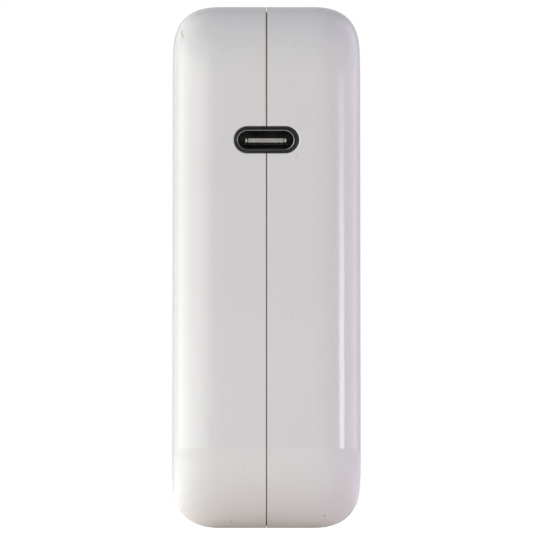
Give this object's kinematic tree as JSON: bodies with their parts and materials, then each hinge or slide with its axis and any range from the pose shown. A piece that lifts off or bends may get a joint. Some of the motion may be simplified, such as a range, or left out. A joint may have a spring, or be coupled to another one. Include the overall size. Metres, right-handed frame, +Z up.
{
  "type": "laptop power adapter",
  "caption": "Square white laptop power brick with a USB-C port in one narrow side and a slide-off mains plug with folding flat prongs in the opposite lower corner.",
  "frame": {"origin": "middle of the narrow side that the brick stands on, at the height of that side", "axes": "+Z up; X is the brick's thickness, and the seam of the half shells is the plane X = 0; the USB-C port looks along -Y; the mains plug fills the lower corner of the +Y side"},
  "size_m": [0.0286, 0.08, 0.08],
  "materials": {
    "white_gloss": "gloss",
    "plug_white": "gloss",
    "plug_base_white": "matt",
    "trim_black": "satin",
    "drawn_steel": "polished",
    "tongue_grey": "satin",
    "gold_contact": "gold plated",
    "black_plastic": "satin",
    "grey_plastic": "satin",
    "white_nylon": "satin",
    "nickel": "bright nickel plate",
    "stud_steel": "turned",
    "spring_steel": "spring steel",
    "brass_sleeve": "satin",
    "bronze_spring": "satin",
    "board_green": "solder mask",
    "board_black": "solder mask",
    "aluminium_plate": "mill",
    "amber_film": "smooth",
    "grey_foam": "open cell",
    "thermal_grey": "soft",
    "chip_black": "matt",
    "wire_insulation": "smooth",
    "fuse_brown": "satin",
    "varistor_blue": "gloss",
    "thermistor_green": "matt",
    "disc_blue": "gloss",
    "x_capacitor_yellow": "satin",
    "film_capacitor_red": "gloss",
    "ferrite_dark": "sintered",
    "toroid_green": "painted",
    "copper_wire": "enamelled",
    "former_black": "satin",
    "winding_yellow": "taped",
    "tape_yellow": "film",
    "can_aluminium": "drawn",
    "sleeve_blue_black": "gloss",
    "bung_rubber": "matt",
    "opto_white": "matt"
  },
  "bodies": {
    "charger": {"housing_left": "white_gloss", "housing_right": "white_gloss", "port_trim": "trim_black", "usb_shell": "drawn_steel", "usb_tongue": "tongue_grey", "usb_contacts": "gold_contact", "usb_midplate": "drawn_steel", "usb_insulator": "black_plastic", "usb_board": "board_black", "usb_board_header": "black_plastic", "inlet_body": "grey_plastic", "inlet_pins": "nickel", "inlet_leads": "wire_insulation", "ground_stud": "stud_steel", "stud_nut": "stud_steel", "main_board": "board_green", "control_board": "board_green", "heat_spreader_left": "aluminium_plate", "heat_spreader_right": "aluminium_plate", "insulating_film_left": "amber_film", "insulating_film_right": "amber_film", "foam_pads": "grey_foam", "thermal_pads": "thermal_grey", "primary_transistors": "chip_black", "rectifier_transistors": "chip_black", "controller_chips": "chip_black", "fuse": "fuse_brown", "varistor": "varistor_blue", "inrush_thermistor": "thermistor_green", "safety_capacitor": "disc_blue", "x_capacitor": "x_capacitor_yellow", "line_choke_core": "toroid_green", "line_choke_winding": "copper_wire", "filter_inductor": "ferrite_dark", "filter_coil": "copper_wire", "bridge_rectifier": "chip_black", "boost_core": "ferrite_dark", "boost_former": "former_black", "boost_coil": "copper_wire", "transformer_core": "ferrite_dark", "transformer_former": "former_black", "transformer_winding": "winding_yellow", "transformer_tape": "tape_yellow", "capacitor_cans": "can_aluminium", "capacitor_sleeves": "sleeve_blue_black", "capacitor_bungs": "bung_rubber", "film_capacitor": "film_capacitor_red", "optocouplers": "opto_white", "output_capacitors": "can_aluminium", "output_choke_core": "toroid_green", "output_choke_winding": "copper_wire"},
    "ac_plug": {"plug_cover": "plug_white", "plug_base": "plug_base_white", "plug_sleeves": "brass_sleeve", "plug_contacts": "bronze_spring", "stud_clip": "spring_steel"},
    "prongs": {"prong_left": "nickel", "prong_right": "nickel", "prong_carrier": "white_nylon"}
  },
  "joints": [
    {"name": "plug_slide", "type": "slide", "parent": "charger", "child": "ac_plug", "axis": [0, 1, 0], "range_m": [0, 0.032]},
    {"name": "prong_fold", "type": "hinge", "parent": "ac_plug", "child": "prongs", "pos_m": [0, 0.0363, 0.01], "axis": [-1, 0, 0], "range_deg": [0, 90]}
  ]
}
